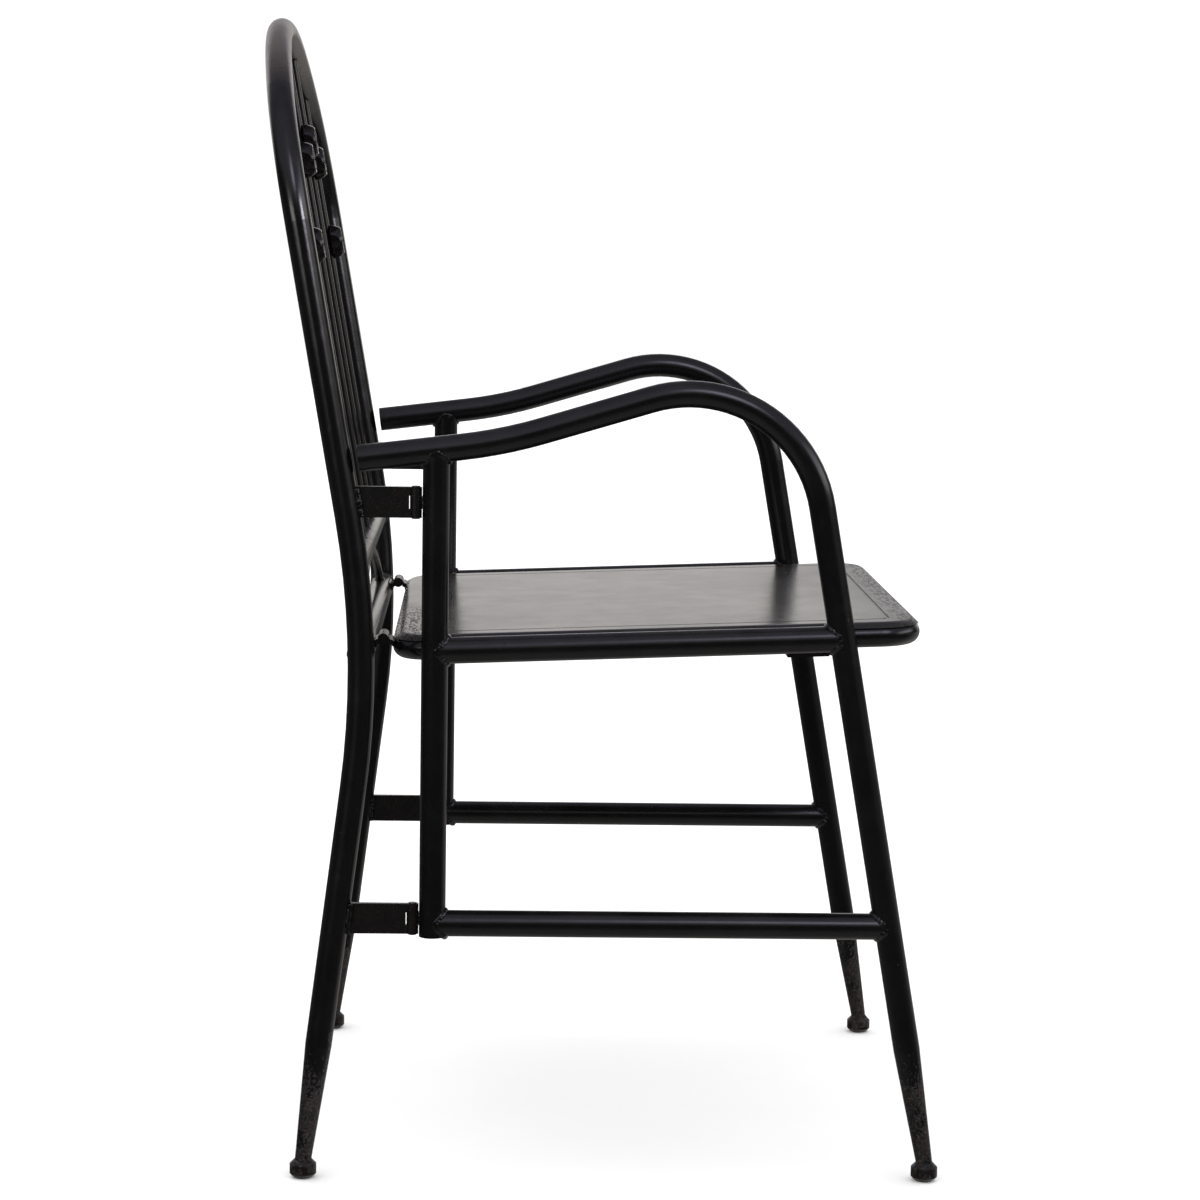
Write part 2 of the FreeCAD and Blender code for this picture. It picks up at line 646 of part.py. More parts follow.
rest_height = RIM_R - TUBE_R + size("RestGap")
seated = SEAT_FRAME.multiply(FreeCAD.Placement(V(0, 0, rest_height), FreeCAD.Rotation()))
rim = cut("SeatRim", rim_sweep("RimOutside", "Sizes.RimDiameter / 2"),
          rim_sweep("RimBore", "Sizes.RimDiameter / 2 - Sizes.TubeWall"))
keep(rim, "seat_rim_tube", seated)

rolled_edge = rim_sweep("RolledEdge", "Sizes.RimDiameter / 2 + Sizes.SheetThickness")
inside_ring = rim_sweep("InsideRing", "Sizes.RimDiameter / 2 + Sizes.WeldGap")
line_outer = rounded_slab("LineOuter", SEAT_EDGE - size("SeatLineInset"),
                          SEAT_EDGE - size("SeatLineDepth"), "2 * Sizes.SeatLineDepth")
line_inner = rounded_slab("LineInner", SEAT_EDGE - size("SeatLineInset") - size("SeatLineWidth"),
                          SEAT_EDGE - size("SeatLineDepth"), "2 * Sizes.SeatLineDepth")
line = cut("SeatLine", line_outer, line_inner)
lip_end = SEAT_EDGE - size("SheetLipHeight")
below_lip = box("BelowLip", "2 * Sizes.FrameWidth", "2 * Sizes.SeatDepth", lip_end + SEAT_EDGE,
                V(-2 * HALF, -1.5 * size("SeatDepth"), -SEAT_EDGE))
blank = fuse("SheetBlank", rounded_slab("SheetFlat", 0, 0, SEAT_EDGE),
             rolled_edge)
underside = rounded_slab("SheetUnderside", 0, -size("SheetThickness"), SEAT_EDGE + size("WeldGap"))
keep(cut("SeatSheet", blank, below_lip, inside_ring, underside, line), "seat_sheet", seated)


# Seat hinges: fixed leaf on the lower cross rail, moving leaf on the seat's rear edge

def leaf_web(name, reach_to, width, first, depth, x):
    # A flat web that points from the pivot to a tube, between two distances from the pivot.
    towards = reach_to - PIVOT
    flat = box(name, width, "Sizes.SeatLeafThickness", depth, V(0, 0, 0))
    turn = FreeCAD.Rotation(X_AXIS, V(0, 0, 0), V(0, towards.y, towards.z), "ZXY")
    offset = FreeCAD.Placement(V(-width / 2, -size("SeatLeafThickness") / 2, first), FreeCAD.Rotation())
    flat.Placement = FreeCAD.Placement(V(x, PIVOT.y, PIVOT.z), turn).multiply(offset)
    return flat


def seat_leaf(name, x, tube_centre, knuckles, cope):
    # Knuckles with their webs, joined by the leaf where it meets the tube, then bored.
    reach = (tube_centre - PIVOT).Length
    clear = size("SeatBarrelDiameter") / 2 + size("SlotGap") / 2
    pieces = [leaf_web(f"{name}Flat", tube_centre, size("SeatHingeWidth"), clear, reach - clear, x)]
    for step, (offset, length) in enumerate(knuckles):
        ends = V(length / 2, 0, 0)
        centre = PIVOT + V(x + offset, 0, 0)
        pieces.append(rod(f"{name}Eye{step}", "Sizes.SeatBarrelDiameter / 2", centre - ends, centre + ends))
        pieces.append(leaf_web(f"{name}Web{step}", tube_centre, length, 0, reach, x + offset))
    ends = V(size("SeatHingeWidth"), 0, 0)
    centre = PIVOT + V(x, 0, 0)
    hole = rod(f"{name}Hole", "Sizes.SeatPinDiameter / 2 + Sizes.PinClearance", centre - ends, centre + ends)
    return cut(name, fuse(f"{name}Blank", *pieces), hole, cope)


rim_rear = seated.multVec(V(0, SEAT_REAR, 0))
rim_cope = rod("RimCope", "Sizes.RimDiameter / 2 + Sizes.WeldGap",
               rim_rear - V(HALF, 0, 0), rim_rear + V(HALF, 0, 0))
middle = size("SeatHingeMiddle")
outer = (size("SeatHingeWidth") - middle) / 2 - size("KnuckleGap")
outer_offset = (size("SeatHingeWidth") - outer) / 2

for side, sign in (("right", -1), ("left", 1)):
    hinge_x = sign * (HALF - size("SeatHingeInset"))
    centre = PIVOT + V(hinge_x, 0, 0)
    fixed = [(-outer_offset, outer), (outer_offset, outer)]
    keep(seat_leaf(f"FixedLeaf_{side}", hinge_x, LOWER_RAIL, fixed, lower_cope), f"seat_hinge_fixed_leaf_{side}")
    keep(seat_leaf(f"MovingLeaf_{side}", hinge_x, rim_rear, [(0, middle)], rim_cope), f"seat_hinge_moving_leaf_{side}")
    keep(pin(f"SeatPin_{side}", "Sizes.SeatPinDiameter", size("SeatHingeWidth"), centre, X_AXIS),
         f"seat_hinge_pin_{side}")


# Check and write every sub-part

doc.recompute()
for feature in doc.Objects:
    if "Invalid" in feature.State or "Error" in feature.State:
        raise RuntimeError(f"{feature.Name} failed: {feature.State}")
for feature in parts:
    if feature.Shape.isNull() or not feature.Shape.isValid():
        raise RuntimeError(f"{feature.Label} has no valid shape")

os.makedirs("parts", exist_ok=True)
for feature in parts:
    feature.Shape.exportStep(os.path.join("parts", f"{feature.Label}.step"))
    print(feature.Label, len(feature.Shape.Solids), round(feature.Shape.Volume, 1))
print("hinge axis y", round(HINGE_Y, 3), "upper rail y", round(UPPER_RAIL.y, 3), "sub-parts", len(parts))
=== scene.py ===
import math

import bpy
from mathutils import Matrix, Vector
from mathutils.bvhtree import BVHTree


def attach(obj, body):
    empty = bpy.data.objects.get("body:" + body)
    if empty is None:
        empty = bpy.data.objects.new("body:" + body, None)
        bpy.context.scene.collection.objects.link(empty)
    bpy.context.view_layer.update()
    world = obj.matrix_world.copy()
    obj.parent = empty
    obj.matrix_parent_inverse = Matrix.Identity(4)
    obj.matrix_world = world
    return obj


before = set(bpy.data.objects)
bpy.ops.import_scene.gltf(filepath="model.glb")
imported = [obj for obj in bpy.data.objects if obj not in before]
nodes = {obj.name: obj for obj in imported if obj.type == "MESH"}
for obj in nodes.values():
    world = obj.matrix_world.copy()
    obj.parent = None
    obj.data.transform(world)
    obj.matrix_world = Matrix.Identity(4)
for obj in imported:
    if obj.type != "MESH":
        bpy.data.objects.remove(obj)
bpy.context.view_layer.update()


# Viewpoint of the picture: the chair's right side, seen from 0.8 m above the floor and
# nearly three metres away, with a long lens dipped by seven degrees and rolled a little.
lens_at = Vector((-2.8882, 0.0900, 0.8098))
turned, dipped, rolled = -0.0335, 0.1199, 0.0155
ahead = Vector((math.cos(dipped) * math.cos(turned),
                math.cos(dipped) * math.sin(turned),
                -math.sin(dipped)))
level_right = Vector((math.sin(turned), -math.cos(turned), 0))
level_up = level_right.cross(ahead)
picture_right = level_right * math.cos(rolled) + level_up * math.sin(rolled)
picture_up = level_up * math.cos(rolled) - level_right * math.sin(rolled)
camera_data = bpy.data.cameras.new("garden_view")
camera_data.sensor_width = 36
camera_data.lens = 96.46
camera = bpy.data.objects.new("garden_view", camera_data)
bpy.context.scene.collection.objects.link(camera)
for row in range(3):
    camera.matrix_world[row][0] = picture_right[row]
    camera.matrix_world[row][1] = picture_up[row]
    camera.matrix_world[row][2] = -ahead[row]
    camera.matrix_world[row][3] = lens_at[row]
bpy.context.scene.camera = camera


# Back hoop, cross rails and side frames: round steel tube, bent, coped and welded. The
# black gloss paint is sprayed thin, so it has a fine orange peel, dusty tops, dull scuffs,
# small chips, and rust that creeps up from the feet. The crown of the back is painted
# lighter, for dust and for a painted sheen of the light from above.
class Wire:
    """A socket of a node tree. Sums on it add Math nodes, and add() adds any other node."""

    def __init__(self, tree, socket=None):
        self.tree = tree
        self.socket = socket

    def add(self, kind, settings, inputs, out=0):
        node = self.tree.nodes.new(kind)
        for name, value in settings.items():
            setattr(node, name, value)
        for name, value in inputs.items():
            if isinstance(value, Wire):
                self.tree.links.new(value.socket, node.inputs[name])
            else:
                node.inputs[name].default_value = value
        return Wire(self.tree, node.outputs[out] if len(node.outputs) else None)

    def maths(self, operation, first, second):
        return self.add("ShaderNodeMath", {"operation": operation}, {0: first, 1: second})

    def __add__(self, other):
        return self.maths("ADD", self, other)

    def __radd__(self, other):
        return self.maths("ADD", other, self)

    def __sub__(self, other):
        return self.maths("SUBTRACT", self, other)

    def __rsub__(self, other):
        return self.maths("SUBTRACT", other, self)

    def __mul__(self, other):
        return self.maths("MULTIPLY", self, other)

    def __rmul__(self, other):
        return self.maths("MULTIPLY", other, self)


def new_finish(name):
    finish = bpy.data.materials.new(name)
    finish.use_nodes = True
    finish.node_tree.nodes.clear()
    start = Wire(finish.node_tree)
    here = start.add("ShaderNodeTexCoord", {}, {}, out="Object")
    return finish, start, here


def noise(start, where, per_metre, detail=3.0, rough=0.5):
    return start.add("ShaderNodeTexNoise", {},
                     {"Vector": where, "Scale": per_metre, "Detail": detail, "Roughness": rough})


def stretched(start, where, scale, per_metre, detail, rough):
    # Noise drawn out along the axis whose scale is under one.
    pulled = start.add("ShaderNodeMapping", {}, {"Vector": where, "Scale": scale})
    return noise(start, pulled, per_metre, detail, rough)


def rise(value, low, high):
    # 0 below low, 1 above high, smooth between.
    return value.add("ShaderNodeMapRange", {"interpolation_type": "SMOOTHSTEP"},
                     {"Value": value, "From Min": low, "From Max": high,
                      "To Min": 0.0, "To Max": 1.0})


def blend(share, under, over):
    return share.add("ShaderNodeMix", {"data_type": "RGBA"}, {0: share, 6: under, 7: over}, out=2)


def facing_up(start):
    normal = start.add("ShaderNodeNewGeometry", {}, {}, out="Normal")
    return normal.add("ShaderNodeSeparateXYZ", {}, {"Vector": normal}, out="Z")


def relief(start, strength, depth, height, **under):
    # One layer of bump, on top of the layer given as Normal.
    return start.add("ShaderNodeBump", {},
                     {"Strength": strength, "Distance": depth, "Height": height, **under})


def coat(finish, start, colour, roughness, surface):
    shader = start.add("ShaderNodeBsdfPrincipled", {},
                       {"Base Color": colour, "Roughness": roughness, "Normal": surface,
                        "IOR": 1.5})
    start.add("ShaderNodeOutputMaterial", {}, {"Surface": shader})
    return finish


def rust_tone(start, here):
    # Thin old rust: nearly black, with upright brown streaks and a few light flecks.
    streak = stretched(start, here, (1.0, 1.0, 0.5), 240.0, 4.0, 0.7)
    fleck = noise(start, here, 480.0, 3.0, 0.7)
    scale = noise(start, here, 380.0, 2.0, 0.5)
    nearly_black, brown = (0.0020, 0.0017, 0.0016, 1), (0.0160, 0.0075, 0.0048, 1)
    light_brown, grey = (0.034, 0.020, 0.013, 1), (0.030, 0.031, 0.026, 1)
    tone = blend(rise(streak, 0.46, 0.60), nearly_black, brown)
    tone = blend(rise(fleck, 0.54, 0.62), tone, light_brown)
    return blend(rise(scale, 0.60, 0.68), tone, grey)


RUST_CLIMB = 0.120  # the height over which rust thins out
NO_RUST = -1.0      # a top level far below the floor


def black_paint(name, tone, gloss, rust_top, dust_share, peel, wave, crown_dust_and_sheen=0.0):
    finish, start, here = new_finish(name)
    height = here.add("ShaderNodeSeparateXYZ", {}, {"Vector": here}, out="Z")
    blotch = noise(start, here, 28.0, 4.0, 0.6)
    grain = noise(start, here, 420.0, 3.0, 0.55)
    # rust: none above rust_top, most of the surface near the floor, in upright patches
    patch = stretched(start, here, (1.0, 1.0, 0.45), 62.0, 5.0, 0.65)
    low_down = 1.0 - rise(height, rust_top - RUST_CLIMB, rust_top)
    rust = rise(low_down * 0.30 + patch * 0.6 + grain * 0.45, 0.75, 0.87)
    rust = rust * rise(low_down, 0.0, 0.1)
    chip = rise(noise(start, here, 120.0, 2.0, 0.6), 0.775, 0.80)
    bare = rust.maths("MAXIMUM", rust, chip)
    # dust: a thin grey film on what faces up. On the crown of the back a thicker grey-brown
    # film stands for dust and for a painted sheen of the light from above.
    dust = rise(facing_up(start), 0.25, 1.0) * rise(blotch, 0.3, 0.75) * dust_share
    # painted sheen and dust: the crown of the back is coloured lighter grey-brown
    film = rise(height, 0.905, 0.965) * (0.75 + blotch * 0.5) * crown_dust_and_sheen
    faded = (tone[0] * 1.6, tone[1] * 1.45, tone[2] * 1.5, 1)
    dust_grey, crown_dust_and_sheen_grey = (0.08, 0.074, 0.072, 1), (0.092, 0.076, 0.067, 1)
    colour = blend(rise(blotch, 0.35, 0.7), tone, faded)
    colour = blend(dust, colour, dust_grey)
    colour = blend(film, colour, crown_dust_and_sheen_grey)
    colour = blend(bare, colour, rust_tone(start, here))
    scuff = rise(noise(start, here, 75.0, 5.0, 0.65), 0.5, 0.72)
    roughness = gloss + scuff * 0.06 + dust * 0.5 + film * 0.2 + grain * 0.03
    roughness = roughness * (1.0 - bare) + bare * 0.46
    peeled = relief(start, peel, 0.0004, noise(start, here, 480.0, 2.0, 0.45))
    waved = relief(start, wave, 0.0012, noise(start, here, 45.0, 2.0, 0.4), Normal=peeled)
    pitted = relief(start, 0.8, 0.0006, bare * (0.5 + grain), Normal=waved)
    return coat(finish, start, colour, roughness, pitted)


def finish_nodes(finish, *names):
    for name in names:
        nodes[name].data.materials.clear()
        nodes[name].data.materials.append(finish)


SIDES = ("right", "left")
SIDE_PIECES = ("arm_leg_tube", "rear_upright", "seat_rail", "lower_stretcher", "seat_rest_tab")
FRAME_BLACK = (0.0019, 0.0018, 0.0020, 1)
LEG_RUST_TOP = 0.180
frame_paint = black_paint("frame_paint", FRAME_BLACK, gloss=0.18, rust_top=LEG_RUST_TOP,
                          dust_share=0.06, peel=0.04, wave=0.12, crown_dust_and_sheen=0.76)
finish_nodes(frame_paint, "back_hoop_tube", "upper_cross_rail", "lower_cross_rail",
             *(f"{piece}_{side}" for piece in SIDE_PIECES for side in SIDES))


# Back rods and apron arch: plain drawn steel rod, 8 mm thick and welded in at both ends,
# under a thinner and smoother coat of the same paint.
RODS = ("outer_right", "inner_right", "centre", "inner_left", "outer_left")
rod_paint = black_paint("rod_paint", (0.0022, 0.0019, 0.0019, 1), gloss=0.20, rust_top=NO_RUST,
                        dust_share=0.0, peel=0.0, wave=0.0)
finish_nodes(rod_paint, "apron_arch_rod", *(f"back_rod_{rod}" for rod in RODS))


# Rosettes on the back rods: cast iron, sand cast and tacked to the rods, under thick black
# paint that softens their grooves.
def cast_paint(name, tone, gloss, rust_share, grit):
    finish, start, here = new_finish(name)
    sand = noise(start, here, 750.0, 4.0, 0.6)
    lumps = noise(start, here, 190.0, 3.0, 0.5)
    blotch = noise(start, here, 60.0, 4.0, 0.6)
    rust = rise(blotch * 0.5 + lumps * 0.5 + rust_share, 0.56, 0.72)
    faded = (tone[0] * 1.8, tone[1] * 1.6, tone[2] * 1.6, 1)
    colour = blend(rise(blotch, 0.3, 0.7), tone, faded)
    colour = blend(rust, colour, rust_tone(start, here))
    roughness = (gloss + sand * 0.08) * (1.0 - rust) + rust * 0.55
    grainy = relief(start, grit, 0.0005, sand)
    lumpy = relief(start, 0.12, 0.0012, lumps, Normal=grainy)
    return coat(finish, start, colour, roughness, lumpy)


rosette_iron = cast_paint("rosette_iron", (0.0020, 0.0018, 0.0020, 1),
                          gloss=0.10, rust_share=-0.3, grit=0.06)
finish_nodes(rosette_iron, *(f"cast_rosette_{rod}" for rod in RODS))


# Feet: turned iron buttons welded under the slender tips of the legs, their paint mostly
# gone to brown rust where they stand in the wet.
foot_iron = cast_paint("foot_iron", (0.0030, 0.0026, 0.0026, 1),
                       gloss=0.16, rust_share=0.15, grit=0.5)
finish_nodes(foot_iron, *(f"{end}_foot_{side}" for end in ("rear", "front") for side in SIDES))


# Side hinges: steel plates sawn from flat bar, with turned knuckles on headed pins. The
# paint is thin and reddish where heat and wear have been at it, with dark specks.
def hinge_paint():
    finish, start, here = new_finish("hinge_paint")
    blotch = noise(start, here, 140.0, 4.0, 0.6)
    speck = rise(noise(start, here, 520.0, 3.0, 0.6), 0.58, 0.66)
    reddish, black, speck_black = ((0.0042, 0.0025, 0.0022, 1), (0.0018, 0.0014, 0.0015, 1),
                                   (0.0008, 0.0007, 0.0007, 1))
    colour = blend(rise(blotch, 0.35, 0.65), reddish, black)
    colour = blend(speck, colour, speck_black)
    roughness = 0.22 + blotch * 0.12 + speck * 0.2
    pitted = relief(start, 0.5, 0.0005, noise(start, here, 480.0, 3.0, 0.6))
    return coat(finish, start, colour, roughness, pitted)


hinge_iron = hinge_paint()
finish_nodes(hinge_iron, *(f"{level}_hinge_{piece}_{side}" for level in ("upper", "lower")
                           for piece in ("plate", "pin", "knuckle") for side in SIDES))


# Seat rim: a closed ring of 20 mm steel tube with rounded corners under the sheet, in the
# frame's black, with no rust.
rim_paint = black_paint("rim_paint", (0.0020, 0.0019, 0.0022, 1), gloss=0.18, rust_top=NO_RUST,
                        dust_share=0.05, peel=0.04, wave=0.12)
finish_nodes(rim_paint, "seat_rim_tube")


# Seat sheet: steel sheet with a pressed line and a lip rolled over the rim tube. It is
# polished by use, with dirt in the pressed line and speckled wear on its front and rear.
def between(value, low, high, edge):
    # 1 between low and high, with a smooth edge inside each.
    return rise(value, low, low + edge) * (1.0 - rise(value, high - edge, high))


def seat_finish():
    finish, start, here = new_finish("seat_paint")
    along = start.add("ShaderNodeSeparateXYZ", {}, {"Vector": here}, out="Y")
    across = start.add("ShaderNodeSeparateXYZ", {}, {"Vector": here}, out="X")
    width = across.maths("ABSOLUTE", across, 0.0)
    cloud = noise(start, here, 7.0, 3.0, 0.55)
    blotch = noise(start, here, 34.0, 4.0, 0.6)
    grain = noise(start, here, 520.0, 3.0, 0.6)
    # the scuffs run from side to side
    speck = stretched(start, here, (0.2, 1.0, 1.0), 480.0, 3.0, 0.65)
    film = rise(cloud * 0.6 + blotch * 0.4, 0.35, 0.7)
    # the pressed line: down both sides, then along the front
    line = between(width, 0.2050, 0.2082, 0.0012) * between(along, -0.2460, 0.1480, 0.0020)
    front_line = between(along, -0.2460, -0.2428, 0.0012) * (1.0 - rise(width, 0.2062, 0.2075))
    line = line.maths("MAXIMUM", line, front_line)
    # wear: speckled along the front edge and at the rear by the right hinge
    front = 1.0 - rise(along, -0.275, -0.235)
    rear = rise(along, 0.120, 0.165) * rise(0.0 - across, -0.05, 0.2) * 0.8
    worn = (front + rear) * rise(speck, 0.50, 0.62)
    dulled = 1.0 - rise(along, -0.290, -0.150)
    pit = rise(noise(start, here, 130.0, 2.0, 0.5), 0.77, 0.79)
    black, greyed = (0.0050, 0.0044, 0.0042, 1), (0.020, 0.0175, 0.0155, 1)
    worn_brown, dirt, rust = ((0.045, 0.0270, 0.0190, 1), (0.0075, 0.0045, 0.0030, 1),
                              (0.05, 0.03, 0.02, 1))
    colour = blend(film * 0.5, black, greyed)
    colour = blend(worn * 0.7, colour, worn_brown)
    colour = blend(line * 0.2, colour, dirt)
    colour = blend(pit, colour, rust)
    roughness = 0.19 + film * 0.05 + pit * 0.3 + grain * 0.03 + dulled * 0.10
    roughness = roughness + worn * 0.26 + line * 0.03
    uneven = relief(start, 0.22, 0.002, noise(start, here, 11.0, 2.0, 0.4))
    peeled = relief(start, 0.10, 0.0003, grain, Normal=uneven)
    pitted = relief(start, 0.7, 0.0006, worn, Normal=peeled)
    return coat(finish, start, colour, roughness, pitted)


finish_nodes(seat_finish(), "seat_sheet")


# Seat hinges: two small steel leaves with knuckles on a headed pin, welded to the lower
# cross rail and the seat rim and painted with a brush.
finish_nodes(hinge_iron, *(f"seat_hinge_{piece}_{side}"
                           for piece in ("fixed_leaf", "moving_leaf", "pin") for side in SIDES))


# Weld beads: where one tube, rod or plate meets another, laid by hand in short lumpy runs,
# filed nearly flush on the outer faces and painted over with the frame.
UP, DOWN = Vector((0, 0, 1)), Vector((0, 0, -1))
TO_BACK, TO_FRONT = Vector((0, 1, 0)), Vector((0, -1, 0))
LEAN = Vector((0, 0.17193, 0.98511))
UPPER_RAIL = Vector((0, 0.203576, 0.515))
LOWER_RAIL = Vector((0, 0.198647, 0.445))
SEAT_PIN = Vector((0, 0.181347, 0.4535))
SEAT_RIM = Vector((0, 0.16381, 0.44592))
SEAT_HINGE_X = 0.205
SEAT_PITCH = math.radians(2.3)
SEAT_FORWARD = Vector((0, -math.cos(SEAT_PITCH), math.sin(SEAT_PITCH)))
SIDE_X = 0.25
OUTER_FACE = 0.2607
SIDE_HINGE_Y, UPRIGHT_Y = 0.154247, 0.137747
SEAT_RAIL_LEVEL = 0.4471 + SIDE_HINGE_Y * math.tan(SEAT_PITCH)
STRETCHER_LEVEL = 0.2183
SIDE_HINGE_LEVELS = (0.571, 0.2222)
PLATE_EDGES = (-0.0028, 0.0028)
LEAF_EDGES = (-0.0024, 0.0024)
FRONT_TIP_Y, REAR_TIP_Y, TIP_LEVEL = -0.2807, 0.2446, 0.03
ROD_SPACING = 0.5 / 6
TUBE_R, RAIL_R, ROD_R, TIP_R = 0.0111, 0.0095, 0.0040, 0.0068
RING_STEPS = 72
FILED_TO = 0.0005
trees = {}


def land(node, start, direction):
    # Where a line from start first meets a piece, and which way the surface faces there.
    if node not in trees:
        mesh = nodes[node].data
        mesh.calc_loop_triangles()
        trees[node] = BVHTree.FromPolygons([v.co for v in mesh.vertices],
                                           [tuple(t.vertices) for t in mesh.loop_triangles])
    place, normal, _, _ = trees[node].ray_cast(start, direction, 0.12)
    if place is not None and normal.dot(direction) > 0:
        normal = -normal
    return place, normal


def ring_seam(node, start, direction, radius, bead):
    # A bead round a tube or rod that ends on another piece. It sits in the corner where
    # there is one, and is broad, low and half sunk where the two surfaces run level. The
    # start lies inside the tube that ends, short of the piece that it meets.
    just_inside = 0.97
    direction = direction.normalized()
    across = direction.orthogonal().normalized()
    beside = direction.cross(across)
    path, girth = [], []
    for step in range(RING_STEPS):
        turn = 2 * math.pi * step / RING_STEPS
        out = across * math.cos(turn) + beside * math.sin(turn)
        place, normal = land(node, start + out * radius * just_inside, direction)
        if place is not None:
            level = max(0.0, out.dot(normal))
            corner = (out + normal).normalized()
            sunk = bead * (0.15 + 1.62 * level)
            path.append(place + out * radius * (1 - just_inside) - corner * sunk)
            girth.append(bead * (1 + level))
    return path, True, girth


def straight_seam(node, first, last, direction, bead, steps=14):
    # A bead along a straight edge that lies against another piece.
    path = []
    for step in range(steps):
        place, normal = land(node, first.lerp(last, step / (steps - 1)), direction)
        if place is not None:
            path.append(place - normal * bead * 0.1)
    return path, False, [bead] * len(path)


def side_seams(x):
    side = "right" if x < 0 else "left"
    leg, upright, foot = f"arm_leg_tube_{side}", f"rear_upright_{side}", f"front_foot_{side}"
    rail = Vector((x, 0, SEAT_RAIL_LEVEL))
    seams = [
        ring_seam(upright, rail - SEAT_FORWARD * 0.09, -SEAT_FORWARD, TUBE_R, bead=0.0029),
        ring_seam(leg, rail + SEAT_FORWARD * 0.14, SEAT_FORWARD, TUBE_R, bead=0.0029),
        ring_seam(upright, Vector((x, 0.10, STRETCHER_LEVEL)), TO_BACK, TUBE_R, bead=0.0027),
        ring_seam(leg, Vector((x, -0.16, STRETCHER_LEVEL)), TO_FRONT, TUBE_R, bead=0.0027),
        ring_seam(leg, Vector((x, UPRIGHT_Y, 0.57)), UP, TUBE_R, bead=0.0024),
        ring_seam(foot, Vector((x, FRONT_TIP_Y, TIP_LEVEL)), DOWN, TIP_R, bead=0.0011),
    ]
    for level in SIDE_HINGE_LEVELS:
        for edge in PLATE_EDGES:
            seams.append(straight_seam(upright, Vector((x + edge, 0.158, level - 0.0048)),
                                       Vector((x + edge, 0.158, level + 0.0048)), TO_FRONT,
                                       bead=0.0020))
    tab_x = x - math.copysign(0.0105, x)
    seams.append(straight_seam(f"seat_rest_tab_{side}", Vector((tab_x, -0.157, 0.47)),
                               Vector((tab_x, -0.184, 0.47)), DOWN, bead=0.0016))
    return seams


def leaf_seams(node, x, tube):
    # The two beads that hold a leaf of a seat hinge to a round tube.
    towards = (tube - SEAT_PIN).normalized()
    half = Vector((0.015, 0, 0))
    seams = []
    for edge in LEAF_EDGES:
        lift = Vector((0, -towards.z, towards.y)) * edge
        middle = SEAT_PIN + Vector((x, 0, 0)) + lift + towards * 0.002
        seams.append(straight_seam(node, middle - half, middle + half, towards, bead=0.0017))
    return seams


def back_seams():
    hoop = "back_hoop_tube"
    seams = []
    for sign, side in ((-1, "right"), (1, "left")):
        out = Vector((sign, 0, 0))
        seams.append(ring_seam(hoop, UPPER_RAIL + out * 0.2, out, RAIL_R, bead=0.0028))
        seams.append(ring_seam(hoop, LOWER_RAIL + out * 0.2, out, TUBE_R, bead=0.0028))
        arch_end, inward = LOWER_RAIL + out * 0.215, Vector((-sign * 0.863, 0.0352, 0.504))
        seams.append(ring_seam("lower_cross_rail", arch_end + inward * 0.035, -inward, ROD_R,
                               bead=0.0015))
        tip = Vector((sign * SIDE_X, REAR_TIP_Y, TIP_LEVEL))
        seams.append(ring_seam(f"rear_foot_{side}", tip, DOWN, TIP_R, bead=0.0011))
        for level in SIDE_HINGE_LEVELS:
            for edge in PLATE_EDGES:
                x = sign * SIDE_X + edge
                seams.append(straight_seam(hoop, Vector((x, 0.17, level - 0.0122)),
                                           Vector((x, 0.17, level + 0.0122)), TO_BACK,
                                           bead=0.0034))
        seams += leaf_seams("lower_cross_rail", sign * SEAT_HINGE_X, LOWER_RAIL)
    # the rods start on the upper rail and end under the arch of the hoop
    for place, rod_top in ((-2, 0.9252), (-1, 0.9583), (0, 0.9644), (1, 0.9583), (2, 0.9252)):
        foot = UPPER_RAIL + Vector((place * ROD_SPACING, 0, 0))
        seams.append(ring_seam("upper_cross_rail", foot + LEAN * 0.03, -LEAN, ROD_R, bead=0.0015))
        reach = (rod_top - UPPER_RAIL.z) / LEAN.z - 0.045
        seams.append(ring_seam(hoop, foot + LEAN * reach, LEAN, ROD_R, bead=0.0015))
    # the apron arch touches the upper rail at its top
    for edge in (-0.004, 0.004):
        apex, half = Vector((0, 0.2030 + edge, 0.4995)), Vector((0.007, 0, 0))
        seams.append(straight_seam("upper_cross_rail", apex - half, apex + half, UP, bead=0.0015))
    return seams


def tack_seams():
    # Short tacks along the rear of the seat, where the lip closes on the rim tube.
    seams = []
    for number in range(-8, 9):
        middle, half = Vector((number * 0.025, 0.1712, 0.50)), Vector((0.0050, 0, 0))
        seams.append(straight_seam("seat_sheet", middle - half, middle + half, DOWN,
                                   bead=0.0005, steps=6))
    return seams


